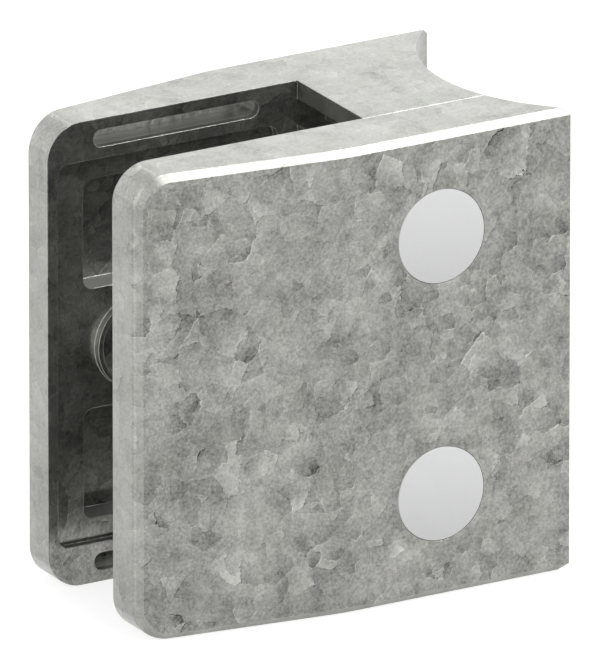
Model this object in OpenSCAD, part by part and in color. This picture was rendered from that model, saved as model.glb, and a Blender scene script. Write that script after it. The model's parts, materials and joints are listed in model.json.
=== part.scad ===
// Glass panel clamp for a round post: two cast jaws, two clamping screws and their caps.
// The clamp stands on its lower face: +X points to the post, +Y to the fixed rear jaw.
// The origin lies on the lower face, half way along the clamp and midway between the cheeks.

/* [Body] */
// Height of the clamp
clamp_h = 45; // [38:0.5:60]
// Thickness of each jaw's cheek at the screws
jaw_t = 7; // [6.4:0.1:10]
// Width of the slot that takes the glass and its rubber
slot_w = 12; // [9:0.5:22]
// Depth of the slot, from the glass end to the web
slot_depth = 26.3; // [24:0.1:34]
// Web between the slot and the crown of the post saddle
web_t = 11.7; // [10:0.1:18]
// Radius of the post that the saddle fits
post_r = 16.85; // [14.5:0.05:32]

/* [Outer shape] */
// Radius of the cheeks' corners at the glass end
corner_r = 3.5; // [2:0.1:6]
// Bevel along the outer edges
edge_bevel = 0.68; // [0.3:0.02:1]
// Angle at which each cheek thins towards the glass end
taper_deg = 7.5; // [3:0.5:9]
// Distance from the glass end to where the taper would meet the flat face
taper_len = 20.6; // [15:0.1:22]
// Radius that blends the taper into the flat face
bend_r = 25; // [10:1:40]
// Fine bevel on both edges of the seam between the jaws
seam_bevel = 0.12; // [0.05:0.01:0.3]

/* [Glass seat] */
// Rim left between the glass end and the shallow seat
seat_gap = 1.05; // [0.8:0.05:2]
// Length of the shallow seat
seat_len = 23.15; // [21.5:0.05:24]
// Height of the shallow seat
seat_h = 37.26; // [36.5:0.02:38.5]
// Depth of the shallow seat
seat_depth = 0.8; // [0.4:0.05:1]
// Corner radius of the shallow seat
seat_r = 1.2; // [0.6:0.1:2]
// Length of each deep pocket in the seat
pocket_len = 16.8; // [12:0.1:18]
// Height of each deep pocket
pocket_h = 10.68; // [8:0.02:12]
// Depth of each deep pocket below the seat
pocket_depth = 2.8; // [1.5:0.1:3]
// Corner radius of each deep pocket
pocket_r = 1; // [0.5:0.1:2]
// Start of the deep pockets, from the glass end
pocket_start = 4.2; // [3.5:0.1:5.5]
// Height of each deep pocket's middle above or below the clamp's middle
pocket_offset = 11.16; // [10.5:0.02:12]

/* [Rubber grooves] */
// Length of the long groove near each end of a cheek
groove_len = 17.4; // [12:0.1:19]
// Width of the long groove
groove_w = 1.7; // [1:0.1:1.8]
// Depth of the long groove
groove_depth = 2.85; // [1.5:0.05:3]
// Start of the long groove, from the glass end
groove_start = 4.83; // [4:0.01:6]
// Rib of the cheek left outside the long groove
groove_rib = 1.1; // [0.9:0.05:1.5]
// Rib of the web left outside its cross groove
notch_rib = 1.8; // [1.4:0.1:2.4]
// Width of the web's cross groove
notch_w = 2.5; // [1.5:0.1:3]
// Depth of the web's cross groove
notch_depth = 3; // [1:0.1:3.5]

/* [Safety pin] */
// Distance of the pin bore from the glass end
pin_x = 9.8; // [9:0.1:14]
// Radius of the blind bore for the safety pin
pin_r = 3.75; // [2.5:0.05:4]
// Depth of the blind bore
pin_depth = 3.5; // [2:0.1:4]
// Wall of the boss round the bore
pin_wall = 0.7; // [0.5:0.05:1]
// Lead-in bevel of the bore
pin_bevel = 0.3; // [0.1:0.05:0.4]

/* [Post fixing] */
// Radius of the clearance bore for the screw that holds the clamp to the post
fix_r = 3.3; // [2.1:0.05:4]

/* [Clamping screws] */
// Distance between the two screws
screw_pitch = 25; // [21:0.5:27]
// Distance from the web's face to the screws
screw_setback = 4.2; // [4:0.1:5.5]
// Radius of the thread
screw_r = 2.45; // [2:0.05:2.6]
// Length of the screw below its head
screw_len = 16; // [13:0.5:17]
// Radius of the screw head
head_r = 4.25; // [3.8:0.05:4.3]
// Height of the screw head
head_h = 3.5; // [3:0.1:3.5]
// Width across the flats of the hexagon socket
socket_w = 4; // [3:0.5:5]
// Depth of the hexagon socket
socket_depth = 2.5; // [2.2:0.1:2.8]

/* [Caps] */
// Radius of the plastic cap
cap_r = 4.53; // [4.4:0.01:4.9]
// Thickness of the cap's disc at its edge
cap_t = 1; // [0.8:0.05:1.1]
// Height of the cap's dome above its edge
dome_h = 0.4; // [0.2:0.05:0.8]
// Length of the cap's peg inside the screw socket
peg_grip = 2; // [1.2:0.1:2.1]

/* [Fits] */
// Running clearance of the thread in the web, on the radius
thread_gap = 0.05; // [0.02:0.01:0.1]
// Clearance of the screw in the front jaw, on the radius
shank_gap = 0.3; // [0.1:0.05:0.5]
// Clearance of the cap in its counterbore, on the radius
cap_gap = 0.04; // [0.02:0.01:0.1]
// Clearance of the cap's peg in the socket, on each flat
peg_gap = 0.05; // [0.02:0.01:0.1]
// Gap between the cap's disc and the screw head
head_gap = 0.5; // [0.2:0.05:0.6]
// Drilled depth beyond the tip of the screw
tip_room = 1; // [0.5:0.1:2]

/* [Hidden] */
$fn = 96;
over = 1;                       // how far a cutter runs past the face that it opens
blend_lift = 0.003;             // how far a blend stands out before the faces beside it trim it

zinc = [0.62, 0.62, 0.60];
zinc_plate = [0.72, 0.73, 0.74];
cap_grey = [0.85, 0.85, 0.86];

clamp_w = slot_w + 2 * jaw_t;
mid_h = clamp_h / 2;
saddle_x = slot_depth + web_t + post_r;     // post axis, from the glass end
clamp_len = saddle_x - sqrt(post_r * post_r - clamp_w * clamp_w / 4);

bend_x = taper_len + bend_r * tan(taper_deg / 2);           // the bend's end on the flat face
taper_run = (bend_x - bend_r * sin(taper_deg)) / cos(taper_deg);
corner_reach = corner_r / cos(taper_deg);                   // corner centre, along the taper

screw_x = slot_depth + screw_setback;
bore_r = cap_r + cap_gap;                   // counterbore for the head and the cap
bore_depth = cap_t + head_gap + head_h;
shank_r = screw_r + shank_gap;
thread_r = screw_r + thread_gap;
thread_depth = bore_depth + screw_len + tip_room - jaw_t;   // drilled depth below the seam
groove_z = mid_h - groove_rib - groove_w / 2;
notch_z = mid_h - notch_rib - notch_w / 2;
boss_r = pin_r + pin_wall;
head_bevel = 0.3;
tip_bevel = 0.4;
dome_r = (cap_r * cap_r + dome_h * dome_h) / (2 * dome_h);

// ---- Placing ----

// From a cheek's own frame (glass end at x = 0, outer face at y = 0) to the clamp's frame
module front_side() translate([-clamp_len / 2, -clamp_w / 2, 0]) children();
module rear_side() mirror([0, 1, 0]) front_side() children();

// Laid along +Y from the point given, turned about that axis as modelled about Z
module along_y(x, y, z) translate([x, y, z]) rotate([-90, 0, 0]) children();

// The same cut or piece above and below the middle
module above_and_below() {
    children();
    translate([0, 0, clamp_h]) mirror([0, 0, 1]) children();
}

// ---- Plain forms ----

// Plate in the XZ plane from y = 0 to y = t, its middle at x = 0 and z = 0, corners rounded
module rounded_plate(w, h, t, r) {
    translate([-w / 2, 0, r - h / 2]) cube([w, t, h - 2 * r]);
    translate([r - w / 2, 0, -h / 2]) cube([w - 2 * r, t, h]);
    for (sx = [-1, 1], sz = [-1, 1])
        along_y(sx * (w / 2 - r), 0, sz * (h / 2 - r)) cylinder(r = r, h = t);
}

// Slot cutter with round ends, in the same frame
module obround(w, h, t) {
    translate([(h - w) / 2, 0, -h / 2]) cube([w - h, t, h]);
    for (sx = [-1, 1])
        along_y(sx * (w - h) / 2, 0, 0) cylinder(r = h / 2, h = t);
}

// ---- Cheek: the same outer shell for both jaws ----

// Upright section of a cheek, its outer face at x = 0, with the bevels of both edges
module cheek_section(depth)
    polygon([
        [edge_bevel, 0], [depth, 0], [depth, clamp_h], [edge_bevel, clamp_h],
        [0, clamp_h - edge_bevel], [0, edge_bevel]
    ]);

// Section carried along +X for a length
module cheek_run(length, depth)
    rotate([90, 0, 90]) linear_extrude(height = length) cheek_section(depth);

// Frame of the taper: x along the sloping face, y into the metal, 0 where the bend ends
module on_taper()
    translate([bend_x, bend_r, 0]) rotate([0, 0, -taper_deg]) translate([0, -bend_r, 0]) children();

// Upright drum that rounds the bend, its edges bevelled like the section's
module bend_drum() {
    r = bend_r + blend_lift;
    translate([bend_x, bend_r, 0]) rotate_extrude($fn = 180) polygon([
        [0, -over], [r - edge_bevel - over, -over], [r, edge_bevel],
        [r, clamp_h - edge_bevel], [r - edge_bevel - over, clamp_h + over], [0, clamp_h + over]
    ]);
}

// Flat face and sloping face, trimmed to the drum where they meet
module cheek_shell() intersection() {
    cheek_run(clamp_len + over, bend_r);
    on_taper() translate([-taper_run - jaw_t, 0, 0]) cheek_run(taper_run + jaw_t + clamp_len, bend_r);
    union() {
        bend_drum();
        translate([bend_x, -over, -over]) cube([clamp_len, bend_r, clamp_h + 2 * over]);
        on_taper() translate([-taper_run - jaw_t, -over, -over])
            cube([taper_run + jaw_t, bend_r, clamp_h + 2 * over]);
    }
}

// Side view of a cheek, with the rounded corners of the glass end
module cheek_outline() {
    translate([corner_r, -over, -over]) cube([clamp_len, jaw_t + over, clamp_h + 2 * over]);
    translate([-over, -over, corner_r])
        cube([2 * corner_r, jaw_t + over, clamp_h - 2 * corner_r]);
    above_and_below()
        along_y(corner_r, -over, corner_r) cylinder(r = corner_r + blend_lift, h = jaw_t + over);
}

// What the bevel takes off, measured outwards from a corner's centre and into the metal
module bevel_profile(lift) {
    rim = corner_r + lift;
    polygon([
        [rim - edge_bevel - over, -over], [rim + over, edge_bevel + over], [rim + over, -over]
    ]);
}

// Bevel of the glass end: up the straight edge and round both corners
module end_bevel()
    on_taper() translate([corner_reach - taper_run, 0, 0]) {
        translate([0, 0, -over]) mirror([1, 0, 0])
            linear_extrude(height = clamp_h + 2 * over) bevel_profile(0);
        above_and_below()
            along_y(0, 0, corner_r) rotate([0, 0, 90])
                rotate_extrude(angle = 90) bevel_profile(blend_lift);
    }

module cheek() difference() {
    intersection() {
        cheek_shell();
        cheek_outline();
    }
    end_bevel();
}

// ---- Cuts that both jaws share ----

// Everything sunk into a cheek's inner face, where the rubber and the safety pin sit
module seat_cuts() translate([0, jaw_t, 0]) {
    difference() {
        translate([seat_gap + seat_len / 2, -seat_depth, mid_h])
            rounded_plate(seat_len, seat_h, seat_depth + over, seat_r);
        along_y(pin_x, -seat_depth - over, mid_h)
            cylinder(r = boss_r, h = seat_depth + over);
    }
    above_and_below() {
        translate([pocket_start + pocket_len / 2, -seat_depth - pocket_depth, mid_h - pocket_offset])
            rounded_plate(pocket_len, pocket_h, seat_depth + pocket_depth + over, pocket_r);
        translate([groove_start + groove_len / 2, -groove_depth, mid_h - groove_z])
            obround(groove_len, groove_w, groove_depth + over);
    }
    along_y(pin_x, -pin_depth, mid_h) cylinder(r = pin_r, h = pin_depth + over);
    along_y(pin_x, -pin_bevel, mid_h)
        cylinder(r1 = pin_r, r2 = pin_r + pin_bevel + over, h = pin_bevel + over);
}

// Post saddle through the full height
module saddle_cut()
    translate([saddle_x, clamp_w / 2, -over]) cylinder(r = post_r, h = clamp_h + 2 * over, $fn = 180);

// Fine bevel where the two jaws meet, along both ends of the seam
module seam_cuts() above_and_below()
    translate([slot_depth, jaw_t, 0]) rotate([45, 0, 0])
        translate([0, -seam_bevel / sqrt(2), -seam_bevel / sqrt(2)])
            cube([clamp_len, seam_bevel * sqrt(2), seam_bevel * sqrt(2)]);

// ---- Sub-parts ----

// Cross grooves of the web, open to the slot
module notch_cuts() above_and_below()
    translate([slot_depth - over, jaw_t - over, mid_h - notch_z - notch_w / 2])
        cube([notch_depth + over, slot_w + over, notch_w]);

module thread_bores() above_and_below()
    along_y(screw_x, jaw_t - over, mid_h - screw_pitch / 2)
        cylinder(r = thread_r, h = thread_depth + over);

module rear_jaw() color(zinc) difference() {
    union() {
        rear_side() cheek();
        front_side() translate([slot_depth, jaw_t, 0])
            cube([clamp_len - slot_depth, slot_w + over, clamp_h]);
    }
    rear_side() seat_cuts();
    front_side() {
        saddle_cut();
        seam_cuts();
        notch_cuts();
        thread_bores();
        translate([slot_depth - over, clamp_w / 2, mid_h])
            rotate([0, 90, 0]) cylinder(r = fix_r, h = clamp_len - slot_depth + over);
    }
}

// Counterbore for the screw head and the cap, then the clearance hole
module screw_bores() above_and_below() {
    along_y(screw_x, -over, mid_h - screw_pitch / 2) cylinder(r = bore_r, h = bore_depth + over);
    along_y(screw_x, 0, mid_h - screw_pitch / 2) cylinder(r = shank_r, h = jaw_t + over);
}

module front_jaw() color(zinc) front_side() difference() {
    cheek();
    seat_cuts();
    saddle_cut();
    seam_cuts();
    screw_bores();
}

// Low-head socket screw, its head's top at z = 0 and its tip below the head at +z
module clamp_screw() difference() {
    rotate_extrude() polygon([
        [0, 0], [head_r - head_bevel, 0], [head_r, head_bevel], [head_r, head_h],
        [screw_r, head_h], [screw_r, head_h + screw_len - tip_bevel],
        [screw_r - tip_bevel, head_h + screw_len], [0, head_h + screw_len]
    ]);
    translate([0, 0, -over]) cylinder(r = socket_w / sqrt(3), h = socket_depth + over, $fn = 6);
}

// Domed cap, the edge of its disc at z = 0 and its peg pointing to +z
module screw_cap() {
    cylinder(r = cap_r, h = cap_t);
    intersection() {
        translate([0, 0, -dome_h]) cylinder(r = cap_r, h = dome_h + cap_t / 2);
        translate([0, 0, dome_r - dome_h]) sphere(r = dome_r);
    }
    cylinder(r = socket_w / sqrt(3) - peg_gap * 2 / sqrt(3), h = cap_t + head_gap + peg_grip, $fn = 6);
}

// Places a piece on one of the two screw axes, side = 1 for the upper and -1 for the lower
module on_screw_axis(side, y)
    front_side() along_y(screw_x, y, mid_h + side * screw_pitch / 2) children();

module clamp_screw_upper() color(zinc_plate) on_screw_axis(1, cap_t + head_gap) clamp_screw();
module clamp_screw_lower() color(zinc_plate) on_screw_axis(-1, cap_t + head_gap) clamp_screw();
module screw_cap_upper() color(cap_grey) on_screw_axis(1, 0) screw_cap();
module screw_cap_lower() color(cap_grey) on_screw_axis(-1, 0) screw_cap();

rear_jaw();
front_jaw();
clamp_screw_upper();
clamp_screw_lower();
screw_cap_upper();
screw_cap_lower();
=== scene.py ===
import json
import math

import bpy
import numpy as np
from mathutils import Matrix, Vector


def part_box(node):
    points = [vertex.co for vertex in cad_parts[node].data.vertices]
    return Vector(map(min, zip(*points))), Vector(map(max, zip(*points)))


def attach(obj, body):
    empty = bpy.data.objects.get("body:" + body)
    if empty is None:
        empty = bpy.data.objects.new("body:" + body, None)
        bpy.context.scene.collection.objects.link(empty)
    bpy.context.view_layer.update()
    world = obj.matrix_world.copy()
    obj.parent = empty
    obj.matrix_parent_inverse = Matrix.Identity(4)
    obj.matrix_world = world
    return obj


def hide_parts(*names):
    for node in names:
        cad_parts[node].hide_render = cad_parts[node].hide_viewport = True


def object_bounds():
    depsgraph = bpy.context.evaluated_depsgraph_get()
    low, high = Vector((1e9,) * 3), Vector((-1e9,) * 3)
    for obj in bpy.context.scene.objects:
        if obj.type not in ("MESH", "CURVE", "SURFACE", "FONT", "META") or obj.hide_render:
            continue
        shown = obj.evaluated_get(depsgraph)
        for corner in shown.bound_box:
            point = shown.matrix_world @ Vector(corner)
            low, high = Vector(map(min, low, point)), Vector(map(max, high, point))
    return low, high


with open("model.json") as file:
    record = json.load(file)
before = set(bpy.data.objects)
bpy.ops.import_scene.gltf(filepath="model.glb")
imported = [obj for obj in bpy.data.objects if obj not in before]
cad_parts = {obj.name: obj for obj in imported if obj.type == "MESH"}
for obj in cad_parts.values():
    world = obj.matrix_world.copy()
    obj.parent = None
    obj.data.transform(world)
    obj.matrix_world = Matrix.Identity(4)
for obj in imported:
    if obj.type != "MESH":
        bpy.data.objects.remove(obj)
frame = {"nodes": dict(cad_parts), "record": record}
cadLow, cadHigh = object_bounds()
mm = 0.001

# right, up and depth place the middle of the view, in mm from the part's origin
viewSettings = {"azimuth": -30, "elevation": 20, "lens": 1500, "sensor": 36, "frameHeight": 60.84,
                "right": 0.92, "up": 21.63, "depth": 15, "clipSpan": 4}


def makeCamera(s):
    a, e = math.radians(s["azimuth"]), math.radians(s["elevation"])
    right = Vector((math.cos(a), math.sin(a), 0))
    back = Vector((math.sin(a) * math.cos(e), -math.cos(a) * math.cos(e), math.sin(e)))
    up = back.cross(right)
    aim = (right * s["right"] + up * s["up"] + back * s["depth"]) * mm
    away = s["frameHeight"] * mm * s["lens"] / s["sensor"]
    data = bpy.data.cameras.new("camera")
    data.lens, data.sensor_width = s["lens"], s["sensor"]
    data.clip_start, data.clip_end = away / s["clipSpan"], away * s["clipSpan"]
    camera = bpy.data.objects.new("camera", data)
    camera.matrix_world = Matrix.Translation(aim + back * away) @ Matrix(
        (right, up, back)).transposed().to_4x4()
    bpy.context.scene.collection.objects.link(camera)
    bpy.context.scene.camera = camera


makeCamera(viewSettings)
bpy.context.scene.view_settings.view_transform = "Standard"
print("camera set")

# the nodes of a material or a world with short calls: each call adds a node and hands back its output
class Graph:
    def __init__(self, owner, shader="Principled BSDF"):
        owner.use_nodes = True
        self.owner, self.tree = owner, owner.node_tree
        self.shader = self.tree.nodes[shader]

    def plug(self, value, socket):
        if isinstance(value, bpy.types.NodeSocket):
            self.tree.links.new(value, socket)
        else:
            socket.default_value = value

    def add(self, kind, output=0, inputs=None, **settings):
        node = self.tree.nodes.new(kind)
        for key, value in settings.items():
            setattr(node, key, value)
        for key, value in (inputs or {}).items():
            self.plug(value, node.inputs[key])
        return node.outputs[output]

    def math(self, operation, *values, clamp=False):
        numbered = dict(enumerate(values))
        return self.add("ShaderNodeMath", inputs=numbered, operation=operation, use_clamp=clamp)

    def vector(self, operation, *values, output="Vector"):
        numbered = dict(enumerate(values))
        return self.add("ShaderNodeVectorMath", output, numbered, operation=operation)

    def scale(self, vector, factor):
        sizes = {"Vector": vector, "Scale": factor}
        return self.add("ShaderNodeVectorMath", inputs=sizes, operation="SCALE")

    def centred(self, colour):
        return self.vector("SUBTRACT", colour, (0.5, 0.5, 0.5))

    # from the first colour or value to the second, as the share goes from 0 to 1
    def mixColour(self, share, first, second):
        first, second = ((*c, 1) if isinstance(c, tuple) else c for c in (first, second))
        return self.add("ShaderNodeMix", 2, {0: share, 6: first, 7: second}, data_type="RGBA")

    def mixValue(self, share, first, second):
        return self.add("ShaderNodeMix", inputs={0: share, 2: first, 3: second})

    # the object's own coordinates, in mm
    def millimetres(self):
        place = self.add("ShaderNodeTexCoord", "Object")
        return self.add("ShaderNodeMapping", inputs={"Vector": place, "Scale": (1 / mm,) * 3})

    # soft noise about 0, from -0.5 to 0.5, with its coarsest swells this many mm across
    def noise(self, place, size, detail, roughness, output="Fac", swirl=0.0):
        found = self.add("ShaderNodeTexNoise", output, {
            "Vector": place, "Scale": 1 / size, "Detail": detail, "Roughness": roughness,
            "Distortion": swirl})
        return self.centred(found) if output == "Color" else self.math("SUBTRACT", found, 0.5)

    # cells of this size in mm, whose borders a colour noise moves by up to half the jag
    def cells(self, place, size, jag, jagNoise):
        bend = self.noise(place, *jagNoise, output="Color")
        bent = self.vector("ADD", place, self.scale(bend, jag))
        middle = self.add("ShaderNodeTexVoronoi", "Position", {"Vector": bent, "Scale": 1 / size})
        return bent, middle, middle.node.outputs["Color"]

    def finish(self, **inputs):
        for key, value in inputs.items():
            self.plug(value, self.shader.inputs[key])
        return self.owner


# the slot for the glass, in mm; its box in the record stops a little short of every face
glassSlot = next(gap for gap in frame["record"]["physics"]["openings"] if gap["name"] == "glass_slot")
slotHigh = np.array(glassSlot["box_m"][1]) / mm

# zinc: a cast metal whose patina is a pile of thin crystal plates; sizes in mm. A plate layer has its
# size and how far its plates differ in grey and in shade, and a noise has its size, detail and
# roughness. An inset is from the slot's mouth, its web and its two ends, and a depth from its sides.
# An edge counts as sharp where its rounding turns the normal so far that the cosine is under edgeTurn.
zincSettings = {
    "dark": (0.268, 0.274, 0.248), "light": (0.304, 0.302, 0.288), "metallic": 0.82,
    "roughness": 0.36, "roughnessSwing": 0.10, "tint": (4.5, 2, 0.5), "tintGain": 2.2,
    "plates": ((3.2, 0.65, 0.85), (1.7, 0.55, 0.65)), "jag": 0.40, "jagNoise": (0.45, 4, 0.65),
    "paintedRimStep": (-0.06, 0.04, 0.07), "rim": 0.9,
    "scar": 2.5, "scarShare": 0.055, "pitShade": 0.17, "scarJag": 0.16, "scarNoise": (0.4, 3, 0.6),
    "lipLightStep": (-0.24, 0.05, 0.2), "lipHighlight": 0.15,
    "cloud": (7.0, 2, 0.5), "cloudShare": 0.72, "fibre": (2.6, 6, 0.85), "fibreShare": 1.4,
    "swirl": 0.12, "grain": (0.28, 2, 0.7), "grainShare": 1.25, "edgeContrast": 0.5,
    "paintedEndSheen": 0.18, "slotInset": (0.15, -0.4, 0.1), "slotDepth": (-6.0, 3.9), "slotRoughness": 0.24,
    "slotPaintedLight": 0.14, "wallInset": (3.6, 2.0, 0.9), "wallDepth": (0.8, 3.8), "wallRoughness": 0.24,
    "wall": (0.85, 0.85, 0.83), "edge": 0.10, "edgeSamples": 6, "edgeHighlightColour": (0.62, 0.62, 0.60),
    "edgeTurn": 0.93, "edgeGain": 5.0}


# a noise that bends cells of this size, given its own size as a share of theirs
def scaledNoise(noise, size):
    share, detail, roughness = noise
    return share * size, detail, roughness


# one layer of plates: a plate's tone is its grey, which is a random offset cubed, plus its shade, which
# is its lean times the distance from the middle of its cell, and more where the lean is steep
def plateLayer(g, place, plate, s):
    size, greySwing, leanSwing = plate
    bent, middle, colour = g.cells(place, size, size * s["jag"], scaledNoise(s["jagNoise"], size))
    lean = g.centred(colour)
    steep = g.vector("DOT_PRODUCT", lean, lean, output="Value")
    across = g.vector("DOT_PRODUCT", g.vector("SUBTRACT", bent, middle), lean, output="Value")
    shade = g.math("MULTIPLY", g.math("MULTIPLY", across, steep), leanSwing * 2 / size)
    offset = g.math("SUBTRACT", g.add("ShaderNodeSeparateColor", "Red", {"Color": colour}), 0.5)
    grey = g.math("MULTIPLY", g.math("MULTIPLY", offset, offset), g.math("MULTIPLY", offset, greySwing))
    return g.math("ADD", grey, shade)


# places where a crystal is missing: a few whole cells are painted dark, as painted shade in a pit, and
# the side that faces the step has a light lip, a painted highlight as if light fell on it from that
# side
def paintedPits(g, place, s):
    size = s["scar"]
    hollows = []
    for at in (place, g.vector("ADD", place, s["lipLightStep"])):
        colour = g.cells(at, size, size * s["scarJag"], scaledNoise(s["scarNoise"], size))[2]
        chance = g.add("ShaderNodeSeparateColor", "Green", {"Color": colour})
        hollows.append(g.math("LESS_THAN", chance, s["scarShare"]))
    paintedLip = g.math("SUBTRACT", hollows[1], hollows[0], clamp=True)
    return g.math("SUBTRACT", g.math("MULTIPLY", paintedLip, s["lipHighlight"]),
                  g.math("MULTIPLY", hollows[0], s["pitShade"]))


# the plates' own tone, and the whole patina's: plates, painted light and shade on their rims, which the
# difference from a copy shifted one way gives them as if lit from that side, pits, cloud, fibre and
# grain
def patina(g, place, s):
    plates, shifted = (
        g.math("ADD", *[plateLayer(g, at, plate, s) for plate in s["plates"]])
        for at in (place, g.vector("ADD", place, s["paintedRimStep"])))
    # the first layer is painted light and shade: an emboss of the plates' edges
    layers = ((g.math("SUBTRACT", plates, shifted), s["rim"]),
              (g.noise(place, *s["cloud"]), s["cloudShare"]),
              (g.noise(place, *s["fibre"], swirl=s["swirl"]), s["fibreShare"]),
              (g.noise(place, *s["grain"]), s["grainShare"]))
    tone = g.math("ADD", plates, paintedPits(g, place, s))
    for layer, share in layers:
        tone = g.math("MULTIPLY_ADD", layer, share, tone)
    return plates, tone


# 1 in two boxes, one at each side of the slot, and 0 elsewhere: there the least of the distances
# in from a box's sides is above 0
def besideSlot(g, place, inset, depth):
    mouth, web, end = inset
    low = np.array([cadLow.x / mm + mouth, slotHigh[1] + depth[0], cadLow.z / mm + end])
    high = np.array([slotHigh[0] - web, slotHigh[1] + depth[1], cadHigh.z / mm - end])
    x, y, z = ((low + high) / 2).tolist()
    mirrored = g.vector("ABSOLUTE", g.vector("SUBTRACT", place, (x, 0, z)))
    away = g.vector("ABSOLUTE", g.vector("SUBTRACT", mirrored, (0, y, 0)))
    room = g.add("ShaderNodeSeparateXYZ", "X", {
        "Vector": g.vector("SUBTRACT", ((high - low) / 2).tolist(), away)})
    least = g.math("MINIMUM", room, g.math("MINIMUM", *room.node.outputs[1:]))
    return g.math("GREATER_THAN", least, 0.0)


# 0 on flat faces and shallow creases, rising to 1 at a sharp edge
def paintedEdgeHighlight(g, rounded, s):
    straight = g.add("ShaderNodeNewGeometry", "True Normal")
    turn = g.vector("DOT_PRODUCT", rounded, straight, output="Value")
    return g.math("MULTIPLY", g.math("SUBTRACT", s["edgeTurn"], turn), s["edgeGain"], clamp=True)


def makeZinc(s):
    g = Graph(bpy.data.materials.new("zincCasting"))
    place = g.millimetres()
    plates, tone = patina(g, place, s)
    # the cheeks' broad faces have the full contrast; the edges, ends and tops have less and are painted
    # lighter, a painted sheen
    normal = g.add("ShaderNodeTexCoord", "Normal")
    across = g.add("ShaderNodeSeparateXYZ", "Y", {"Vector": normal})
    square = g.math("MULTIPLY", across, across)
    facing = g.math("MULTIPLY", square, square)
    contrast = g.math("MULTIPLY_ADD", facing, 1 - s["edgeContrast"], s["edgeContrast"])
    paintedSheen = g.math("MULTIPLY_ADD", facing, -s["paintedEndSheen"], 1 + s["paintedEndSheen"])
    brightness = g.math("MULTIPLY", g.math("MULTIPLY_ADD", tone, contrast, 1.0), paintedSheen)
    # the slot's own faces are smoother and painted lighter, as painted light in the shaded slot, and
    # the walls of its recesses are painted pale, as a painted highlight where light from above falls on
    # them
    slot = besideSlot(g, place, s["slotInset"], s["slotDepth"])
    wall = g.math("MULTIPLY", besideSlot(g, place, s["wallInset"], s["wallDepth"]),
                  g.math("SUBTRACT", 1.0, facing))
    paintedSlotLight = g.math("MULTIPLY_ADD", slot, s["slotPaintedLight"], 1.0)
    tint = g.math("MULTIPLY_ADD", g.noise(place, *s["tint"]), s["tintGain"], 0.5, clamp=True)
    colour = g.scale(g.mixColour(tint, s["dark"], s["light"]), g.math("MULTIPLY", brightness, paintedSlotLight))
    # pale walls: a painted highlight on the recesses' walls, where light from above falls
    colour = g.mixColour(wall, colour, s["wall"])
    roughness = g.math("MULTIPLY_ADD", plates, s["roughnessSwing"], s["roughness"])
    roughness = g.mixValue(slot, roughness, s["slotRoughness"])
    roughness = g.mixValue(wall, roughness, s["wallRoughness"])
    # sharp edges are a little rounded in the shading, and painted lighter along them: a painted
    # highlight
    rounded = g.add("ShaderNodeBevel", inputs={"Radius": s["edge"] * mm},
                    samples=s["edgeSamples"])
    colour = g.mixColour(paintedEdgeHighlight(g, rounded, s), colour, s["edgeHighlightColour"])
    return g.finish(**{"Base Color": colour, "Metallic": s["metallic"], "Roughness": roughness,
                       "Normal": rounded})


# steel: bright zinc plate with faint turning marks round the screw's own axis
steelSettings = {"dull": (0.50, 0.51, 0.52), "bright": (0.64, 0.65, 0.67), "roughness": 0.26,
                 "roughnessSwing": 0.16, "mark": (0.16, 4, 0.6), "markShare": 0.9,
                 "markStretch": (0.15, 1, 0.15), "blotch": (1.6, 3, 0.6)}


def makeSteel(s):
    g = Graph(bpy.data.materials.new("screwSteel"))
    place = g.millimetres()
    rings = g.add("ShaderNodeMapping", inputs={"Vector": place, "Scale": s["markStretch"]})
    marks = g.math("MULTIPLY_ADD", g.noise(rings, *s["mark"]), s["markShare"], 0.5)
    blotch = g.noise(place, *s["blotch"])
    colour = g.mixColour(g.math("ADD", marks, blotch, clamp=True), s["dull"], s["bright"])
    roughness = g.math("MULTIPLY_ADD", blotch, s["roughnessSwing"], s["roughness"])
    return g.finish(**{"Base Color": colour, "Metallic": 1.0, "Roughness": roughness})


# plastic: light grey, glossy, with the very slight ripple of a thin moulding
plasticSettings = {"shade": (0.785, 0.787, 0.793), "deep": (0.755, 0.757, 0.765), "roughness": 0.16,
                   "roughnessSwing": 0.10, "ripple": (3.0, 2, 0.5), "rippleShare": 1.4,
                   "fleck": (0.5, 3, 0.6), "bump": 0.04, "bumpStrength": 0.25}


def makePlastic(s):
    g = Graph(bpy.data.materials.new("capPlastic"))
    place = g.millimetres()
    ripple = g.noise(place, *s["ripple"])
    fleck = g.noise(place, *s["fleck"])
    mix = g.math("ADD", g.math("MULTIPLY_ADD", ripple, s["rippleShare"], 0.5), fleck, clamp=True)
    roughness = g.math("MULTIPLY_ADD", ripple, s["roughnessSwing"], s["roughness"])
    bump = g.add("ShaderNodeBump", inputs={
        "Height": ripple, "Strength": s["bumpStrength"], "Distance": s["bump"] * mm})
    return g.finish(**{"Base Color": g.mixColour(mix, s["deep"], s["shade"]),
                       "Roughness": roughness, "Normal": bump})


zinc = makeZinc(zincSettings)
steel = makeSteel(steelSettings)
plastic = makePlastic(plasticSettings)


def dress(nodeName, material):
    node = frame["nodes"][nodeName]
    for holder in node.material_slots:
        holder.material = material


for jaw in ("rear_jaw", "front_jaw"):
    dress(jaw, zinc)
print("materials set")

# clamping screw, M5 with a socket head; sizes in mm, measured from the top of its head
screwSettings = {"headHeight": 3.5, "headBevel": 0.3, "socketWidth": 4.0, "socketDepth": 2.5,
                 "socketBevel": 0.25, "threadRadius": 2.45, "pitch": 0.8, "threadDepth": 0.49,
                 "crestShare": 0.125, "rootShare": 0.25, "runOut": 1.0, "tipBevel": 0.5,
                 "mouthGap": 0.05, "floorShare": 0.5, "around": 72, "ringStep": 0.08}
steepEdge = 32  # in degrees: a crease at least this sharp stays sharp


# radius of a hexagon at each angle: half its width over the cosine of the angle from the flat's middle
def hexagon(width, angle):
    flat = math.pi / 3
    return width / 2 / np.cos((angle + flat / 2) % flat - flat / 2)


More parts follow.
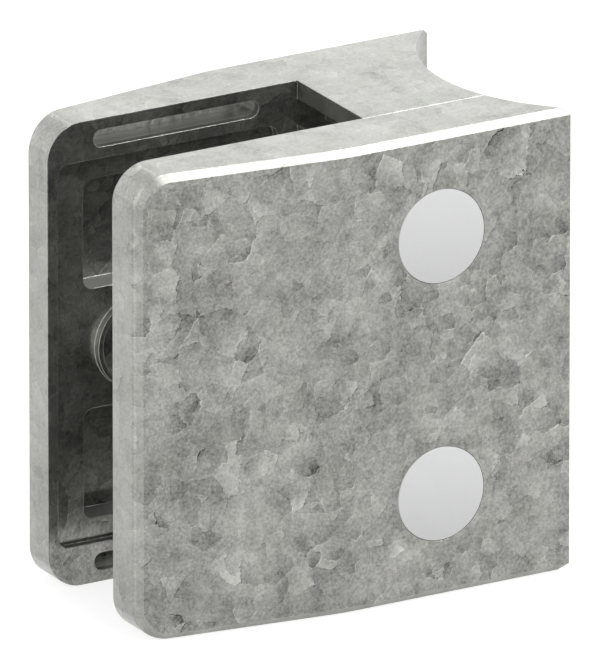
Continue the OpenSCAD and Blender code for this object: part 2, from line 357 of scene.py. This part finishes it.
# thread radius: a ridge that climbs one pitch per turn, whose crest and root are these shares of the
# pitch wide, and which rises out of the root under the head and narrows at the tip
def thread(along, angle, start, end, s):
    phase = (along / s["pitch"] - angle / (2 * math.pi)) % 1
    flank = 1 - s["crestShare"] - s["rootShare"]
    ridge = np.clip((np.abs(phase - 0.5) * 2 - s["rootShare"]) / flank, 0, 1)
    fade = np.clip((along - start) / s["runOut"], 0, 1)
    crest = np.minimum(s["threadRadius"], s["threadRadius"] - s["tipBevel"] + end - along)
    root = s["threadRadius"] - s["threadDepth"]
    return np.minimum(crest, root + (ridge * fade) * (s["threadRadius"] - root))


# a surface wound from rings: ring i stands at along[i] with radius[i, j] at angle[j], and the
# first and last rings close on the axis
def woundMesh(name, along, radius, angle, axisPoint):
    depth = np.repeat(along[:, None], len(angle), 1)
    points = np.stack([radius * np.sin(angle), depth, radius * np.cos(angle)], -1).reshape(-1, 3)
    ends = np.array([[0, along[0], 0], [0, along[-1], 0]])
    points = np.concatenate([points, ends]) * mm + np.array(axisPoint)
    rings, around = radius.shape
    here = np.arange(rings * around).reshape(rings, around)
    after = np.roll(here, -1, 1)
    quads = np.stack([here[:-1], after[:-1], after[1:], here[1:]], -1).reshape(-1, 4)
    first, last = rings * around, rings * around + 1
    cap = np.stack([np.full(around, first), after[0], here[0]], -1)
    foot = np.stack([np.full(around, last), here[-1], after[-1]], -1)
    mesh = bpy.data.meshes.new(name)
    mesh.from_pydata(points, [], quads.tolist() + cap.tolist() + foot.tolist())
    return mesh


# a finished piece that stands for a CAD node, smooth apart from its steep edges
def standFor(nodeName, body, material, mesh):
    mesh.polygons.foreach_set("use_smooth", np.ones(len(mesh.polygons), bool))
    mesh.set_sharp_from_angle(angle=math.radians(steepEdge))
    mesh.materials.append(material)
    piece = bpy.data.objects.new(mesh.name, mesh)
    bpy.context.scene.collection.objects.link(piece)
    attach(piece, body)
    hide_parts(nodeName)


# radius and length of the CAD piece, in mm, and the point where its axis leaves its outer end
def turnedSize(nodeName):
    low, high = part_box(nodeName)
    return ((high.x - low.x) / 2 / mm, (high.y - low.y) / mm,
            ((low.x + high.x) / 2, low.y, (low.z + high.z) / 2))


def makeScrew(nodeName, body, s):
    headRadius, length, axisPoint = turnedSize(nodeName)
    angle = np.linspace(0, 2 * math.pi, s["around"], endpoint=False)
    socket = hexagon(s["socketWidth"], angle)
    level = np.ones_like(angle)
    mouth = level * (s["socketWidth"] / 2 / math.cos(math.pi / 6) + s["mouthGap"])
    bevel, under = s["headBevel"], s["headHeight"]
    rings = [(s["socketDepth"], socket * s["floorShare"]), (s["socketDepth"], socket),
             (s["socketBevel"], socket), (0, mouth), (0, level * (headRadius - bevel)),
             (bevel, level * headRadius), (under, level * headRadius)]
    shank = np.linspace(under, length, round((length - under) / s["ringStep"]) + 1)
    grid, turn = np.meshgrid(shank, angle, indexing="ij")
    along = np.append([at for at, _ in rings], shank)
    radius = np.concatenate([[size for _, size in rings], thread(grid, turn, under, length, s)])
    mesh = woundMesh(nodeName + "_threaded", along, radius, angle, axisPoint)
    standFor(nodeName, body, steel, mesh)


for level in ("upper", "lower"):
    makeScrew("clamp_screw_" + level, "screw_" + level, screwSettings)
print("screws threaded")

# push-in cap, a domed disc on a six-sided peg; sizes in mm, measured from the top of the dome
capSettings = {"domeHeight": 0.4, "discHeight": 1.0, "rimRound": 0.09, "rimSteps": 5,
               "underBevel": 0.1, "pegWidth": 3.9, "pegBevel": 0.25, "around": 144, "domeRings": 16}


# the dome is part of a ball, whose depth below its top is the ball's radius less the root of the
# radius squared less the distance from the axis squared; a quarter arc then turns into the side
def makeCap(nodeName, body, s):
    capRadius, length, axisPoint = turnedSize(nodeName)
    angle = np.linspace(0, 2 * math.pi, s["around"], endpoint=False)
    ball = (capRadius ** 2 + s["domeHeight"] ** 2) / (2 * s["domeHeight"])
    domeRadius = np.linspace(0, capRadius - s["rimRound"], s["domeRings"] + 1)[1:]
    domeDepth = ball - np.sqrt(ball ** 2 - domeRadius ** 2)
    arc = np.linspace(0, math.pi / 2, s["rimSteps"] + 1)[1:]
    rimFoot = s["domeHeight"] + s["rimRound"]
    rimDepth = rimFoot + (domeDepth[-1] - rimFoot) * np.cos(arc)
    rimRadius = domeRadius[-1] + s["rimRound"] * np.sin(arc)
    peg = hexagon(s["pegWidth"], angle)
    level = np.ones_like(angle)
    under = s["domeHeight"] + s["discHeight"]
    rings = [(under - s["underBevel"], level * capRadius),
             (under, level * (capRadius - s["underBevel"])),
             (under, peg), (length - s["pegBevel"], peg),
             (length, peg * (1 - 2 * s["pegBevel"] / s["pegWidth"]))]
    along = np.concatenate([domeDepth, rimDepth, [at for at, _ in rings]])
    turned = np.append(domeRadius, rimRadius)[:, None] * level
    radius = np.concatenate([turned, [size for _, size in rings]])
    mesh = woundMesh(nodeName + "_domed", along, radius, angle, axisPoint)
    standFor(nodeName, body, plastic, mesh)


for level in ("upper", "lower"):
    makeCap("screw_cap_" + level, "cap_" + level, capSettings)
print("caps domed")

# the studio, in metres: the lamps shine on the aim, and each has its place, its size and its power
studioSettings = {"ambient": 0.7, "floorSize": 4.0, "floorColour": 0.45, "floorGlow": 0.75,
                  "aim": (0, 0, 0.02), "lamps": {
                      "overhead": ((0.37, -0.31, 0.76), 0.28, 2.1),
                      "aboveFront": ((0.02, -0.43, 0.79), 0.28, 1.4),
                      "behind": ((0.5, 0.75, 0.5), 0.8, 1.15),
                      "behindLeft": ((-0.62, 0.68, 0.2), 1.0, 0.6),
                      "left": ((-0.85, -0.1, 0.35), 1.0, 1.8),
                      "right": ((0.85, 0.3, 0.3), 1.2, 2.4)}}


def softLamp(name, aim, place, size, power):
    data = bpy.data.lights.new(name, "AREA")
    data.shape, data.size, data.energy = "DISK", size, power
    lamp = bpy.data.objects.new(name, data)
    lamp.location = place
    lamp.rotation_euler = (Vector(aim) - Vector(place)).to_track_quat("-Z", "Y").to_euler()
    lamp.visible_camera = False
    bpy.context.scene.collection.objects.link(lamp)


# 1 for the rays that show the background itself: the camera's, and those that metal or glass sends on
def seenDirectly(g):
    camera = g.add("ShaderNodeLightPath", "Is Camera Ray")
    glossy, clear = (camera.node.outputs[ray] for ray in ("Is Glossy Ray", "Is Transmission Ray"))
    return g.math("ADD", camera, g.math("ADD", glossy, clear), clamp=True)


# a white surround, which lights the object at the plain ambient level
def makeWorld(s):
    bpy.context.scene.world = bpy.data.worlds.new("studio")
    g = Graph(bpy.context.scene.world, "Background")
    strength = g.math("MULTIPLY_ADD", seenDirectly(g), 1 - s["ambient"], s["ambient"])
    g.finish(Color=(1, 1, 1, 1), Strength=strength)


# a matt floor that keeps the shadow and glows up to white where it is seen
def makeFloor(s):
    half = s["floorSize"] / 2
    mesh = bpy.data.meshes.new("floor")
    corners = [(-half, -half, 0), (half, -half, 0), (half, half, 0), (-half, half, 0)]
    mesh.from_pydata(corners, [], [(0, 1, 2, 3)])
    floor = bpy.data.objects.new("floor", mesh)
    bpy.context.scene.collection.objects.link(floor)
    g = Graph(bpy.data.materials.new("floorPaper"))
    glow = g.math("MULTIPLY", seenDirectly(g), s["floorGlow"])
    paper = g.finish(**{"Base Color": (*[s["floorColour"]] * 3, 1), "Roughness": 1.0,
                        "Specular IOR Level": 0.0, "Emission Color": (1, 1, 1, 1),
                        "Emission Strength": glow})
    mesh.materials.append(paper)


makeWorld(studioSettings)
makeFloor(studioSettings)
for lampName, lamp in studioSettings["lamps"].items():
    softLamp(lampName, studioSettings["aim"], *lamp)
print("studio set")
